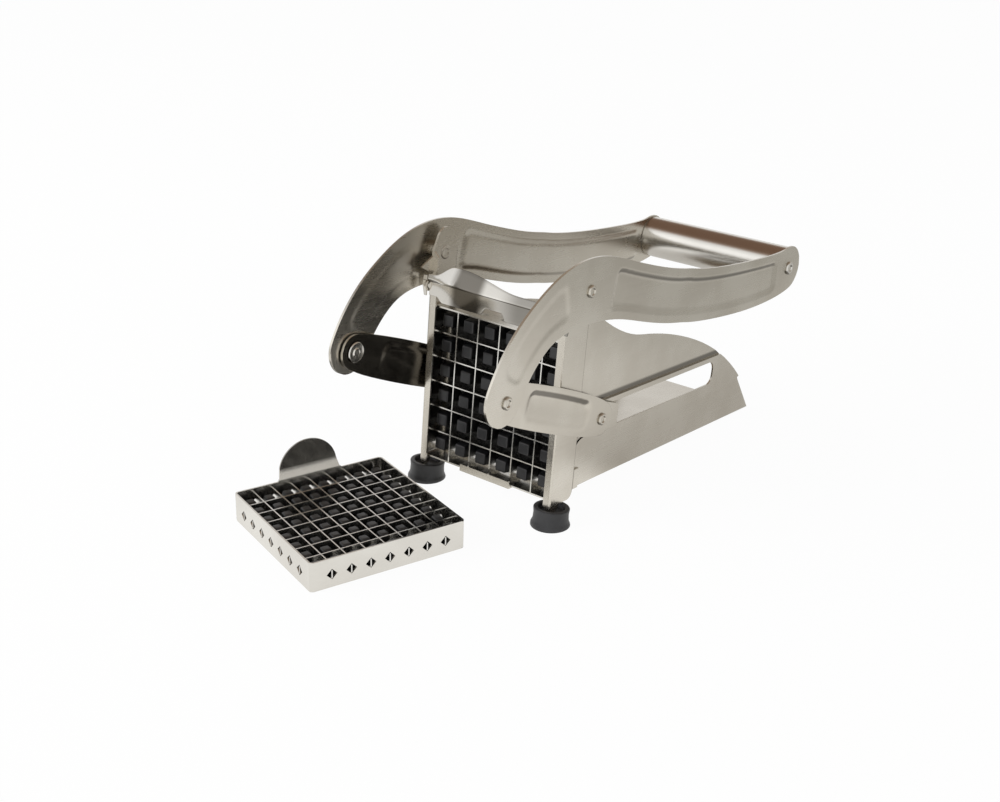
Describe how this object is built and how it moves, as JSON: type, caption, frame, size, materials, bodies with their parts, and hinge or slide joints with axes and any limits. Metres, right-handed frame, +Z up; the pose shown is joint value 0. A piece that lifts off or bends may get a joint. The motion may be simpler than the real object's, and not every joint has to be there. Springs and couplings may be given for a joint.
{
  "type": "french fry cutter",
  "caption": "Steel french fry cutter with a lever handle, sliding stud pusher and slotted trough, and a spare blade cassette with its own pusher block beside it.",
  "frame": {"origin": "on the table, midway between the soles of the two front feet", "axes": "+Z up from the table, +Y from the blades to the back of the trough, +X to the right for someone who looks at the blades"},
  "size_m": [0.1232, 0.3385, 0.1293],
  "materials": {
    "sheet_steel": "satin brushed",
    "bright_steel": "polished",
    "blade_steel": "polished",
    "black_plastic": "semi-gloss moulded",
    "black_rubber": "matt moulded"
  },
  "bodies": {
    "housing": {"front_frame": "sheet_steel", "trough": "sheet_steel", "foot_right": "black_rubber", "foot_left": "black_rubber", "pivot_rivets": "bright_steel", "pivot_washers": "sheet_steel"},
    "clip": {"retaining_clip": "bright_steel"},
    "fitted_cassette": {"cassette_frame_36": "bright_steel", "upright_blades_36": "blade_steel", "level_blades_36": "blade_steel"},
    "handle": {"arm_right": "sheet_steel", "arm_left": "sheet_steel", "grip_tube": "bright_steel", "grip_discs": "sheet_steel", "grip_rod": "bright_steel", "crank_rivets": "bright_steel"},
    "pusher": {"pusher_carrier": "sheet_steel", "pusher_block_36": "black_plastic", "block_screws": "bright_steel", "carrier_rivets": "bright_steel"},
    "links": {"link_right": "sheet_steel", "link_left": "sheet_steel", "link_eyelets": "bright_steel"},
    "spare_block": {"pusher_block_64": "black_plastic"},
    "spare_cassette": {"cassette_frame_64": "bright_steel", "crosswise_blades_64": "blade_steel", "lengthwise_blades_64": "blade_steel"}
  },
  "joints": [
    {"name": "handle_hinge", "type": "hinge", "parent": "housing", "child": "handle", "pos_m": [0, 0.01311, 0.11393], "axis": [1, 0, 0], "range_deg": [0, 82]},
    {"name": "pusher_slide", "type": "slide", "parent": "housing", "child": "pusher", "axis": [0, 0.9971, -0.0761], "range_m": [0, 0.0924]},
    {"name": "link_hinge", "type": "hinge", "parent": "pusher", "child": "links", "pos_m": [0, 0.03085, 0.04548], "axis": [1, 0, 0], "range_deg": [0, 15.33]},
    {"name": "clip_hinge", "type": "hinge", "parent": "housing", "child": "clip", "pos_m": [0, 0.00143, 0.10018], "axis": [1, 0, 0], "range_deg": [-170, 0]},
    {"name": "fitted_cassette_lift", "type": "slide", "parent": "housing", "child": "fitted_cassette", "axis": [0, 0.0761, 0.9971], "range_m": [0, 0.002]},
    {"name": "spare_block_lift", "type": "slide", "parent": "housing", "child": "spare_block", "axis": [0, 0, 1], "range_m": [0, 0.02]},
    {"name": "spare_cassette_lift", "type": "slide", "parent": "spare_block", "child": "spare_cassette", "axis": [0, 0, 1], "range_m": [0, 0.016]}
  ],
  "couplings": [
    {"joint": "pusher_slide", "follows": "handle_hinge", "m_per_rad": 0.064451},
    {"joint": "link_hinge", "follows": "handle_hinge", "ratio": 0.18639}
  ]
}
